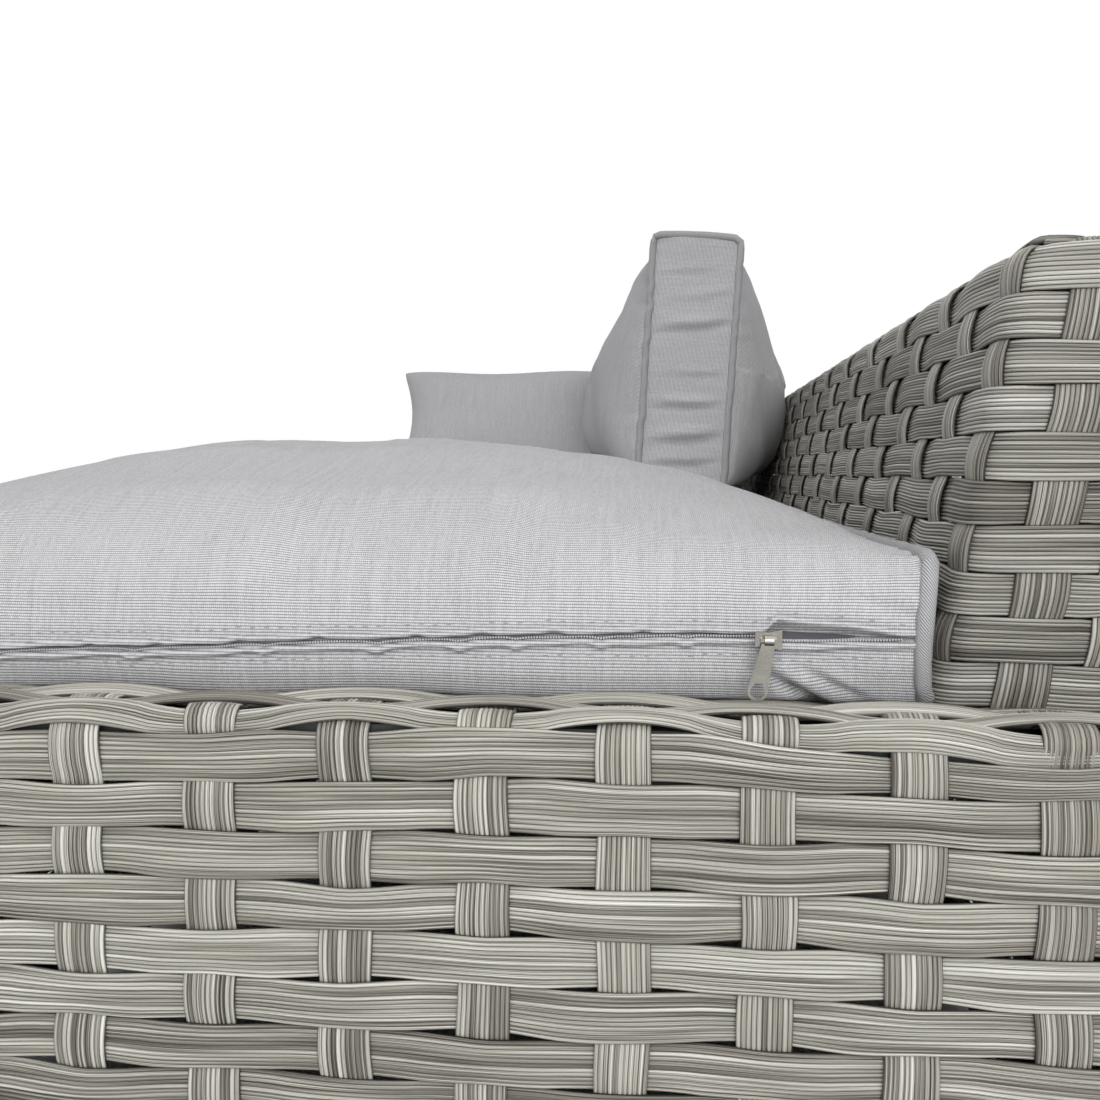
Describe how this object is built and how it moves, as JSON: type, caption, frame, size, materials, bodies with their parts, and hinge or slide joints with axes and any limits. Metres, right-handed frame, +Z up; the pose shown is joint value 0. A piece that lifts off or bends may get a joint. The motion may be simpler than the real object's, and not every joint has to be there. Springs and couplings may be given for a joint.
{
  "type": "garden sofa",
  "caption": "Woven two-seat garden sofa with a leaning backrest, one arm and one open end, loose seat and back cushions, a scatter pillow and a zipped seat cover.",
  "frame": {"origin": "on the floor under the middle of the whole sofa's box", "axes": "+X along the sofa towards its open end, +Y towards the backrest, +Z up"},
  "size_m": [1.62, 0.7432, 0.6743],
  "materials": {
    "woven_strip": "satin",
    "coated_tube": "satin",
    "glide_plastic": "matte",
    "bolt_steel": "satin",
    "grey_cloth": "matte",
    "foam": "matte",
    "zip_nylon": "matte",
    "zip_metal": "polished"
  },
  "bodies": {
    "sofa_frame": {"deck_weave": "woven_strip", "skirt_near_end_weave": "woven_strip", "skirt_far_end_weave": "woven_strip", "skirt_front_weave": "woven_strip", "skirt_rear_weave": "woven_strip", "backrest_front_weave": "woven_strip", "backrest_rear_weave": "woven_strip", "backrest_top_weave": "woven_strip", "backrest_near_end_weave": "woven_strip", "backrest_far_end_weave": "woven_strip", "arm_outer_weave": "woven_strip", "arm_inner_weave": "woven_strip", "arm_top_weave": "woven_strip", "arm_front_weave": "woven_strip", "top_rail_near_end": "coated_tube", "top_rail_far_end": "coated_tube", "bottom_rail_near_end": "coated_tube", "bottom_rail_far_end": "coated_tube", "top_rail_front": "coated_tube", "top_rail_rear": "coated_tube", "bottom_rail_front": "coated_tube", "bottom_rail_rear": "coated_tube", "leg_near_front": "coated_tube", "leg_near_rear": "coated_tube", "leg_far_front": "coated_tube", "leg_far_rear": "coated_tube", "seat_cross_bar_1": "coated_tube", "seat_cross_bar_2": "coated_tube", "seat_cross_bar_3": "coated_tube", "seat_cross_bar_4": "coated_tube", "backrest_bottom_tube": "coated_tube", "backrest_top_front_tube": "coated_tube", "backrest_top_rear_tube": "coated_tube", "backrest_front_upright_far": "coated_tube", "backrest_front_upright_middle": "coated_tube", "backrest_front_upright_near": "coated_tube", "backrest_rear_upright_far": "coated_tube", "backrest_rear_upright_near": "coated_tube", "arm_bottom_rail": "coated_tube", "arm_top_rail": "coated_tube", "arm_upright_front": "coated_tube", "arm_upright_rear": "coated_tube", "foot_glide_near_front": "glide_plastic", "foot_glide_near_rear": "glide_plastic", "foot_glide_far_front": "glide_plastic", "foot_glide_far_rear": "glide_plastic", "backrest_bolt_far": "bolt_steel", "backrest_bolt_middle": "bolt_steel", "backrest_bolt_near": "bolt_steel", "arm_bolt_front": "bolt_steel", "arm_bolt_rear": "bolt_steel"},
    "seat_near": {"seat_cover_near": "grey_cloth", "seat_core_near": "foam", "zip_band": "zip_nylon"},
    "zip_runner": {"zip_slider": "zip_metal"},
    "zip_tab": {"zip_pull": "zip_metal"},
    "seat_far": {"seat_cushion_far": "grey_cloth"},
    "back": {"back_cushion": "grey_cloth"},
    "pillow": {"scatter_pillow": "grey_cloth"}
  },
  "joints": [
    {"name": "seat_near_lift", "type": "slide", "parent": "sofa_frame", "child": "seat_near", "axis": [0, 0, 1], "range_m": [0, 0.23]},
    {"name": "zip_slide", "type": "slide", "parent": "seat_near", "child": "zip_runner", "axis": [0, 1, 0], "range_m": [-0.486, 0.052]},
    {"name": "zip_pull_hinge", "type": "hinge", "parent": "zip_runner", "child": "zip_tab", "pos_m": [0.78395, 0.13938, 0.341], "axis": [0, -1, 0], "range_deg": [0, 150]},
    {"name": "seat_far_lift", "type": "slide", "parent": "sofa_frame", "child": "seat_far", "axis": [0, 0, 1], "range_m": [0, 0.23]},
    {"name": "back_lift", "type": "slide", "parent": "seat_far", "child": "back", "axis": [0, 0, 1], "range_m": [0, 0.15]},
    {"name": "pillow_lift", "type": "slide", "parent": "seat_far", "child": "pillow", "axis": [0, 0, 1], "range_m": [0, 0.15]}
  ]
}
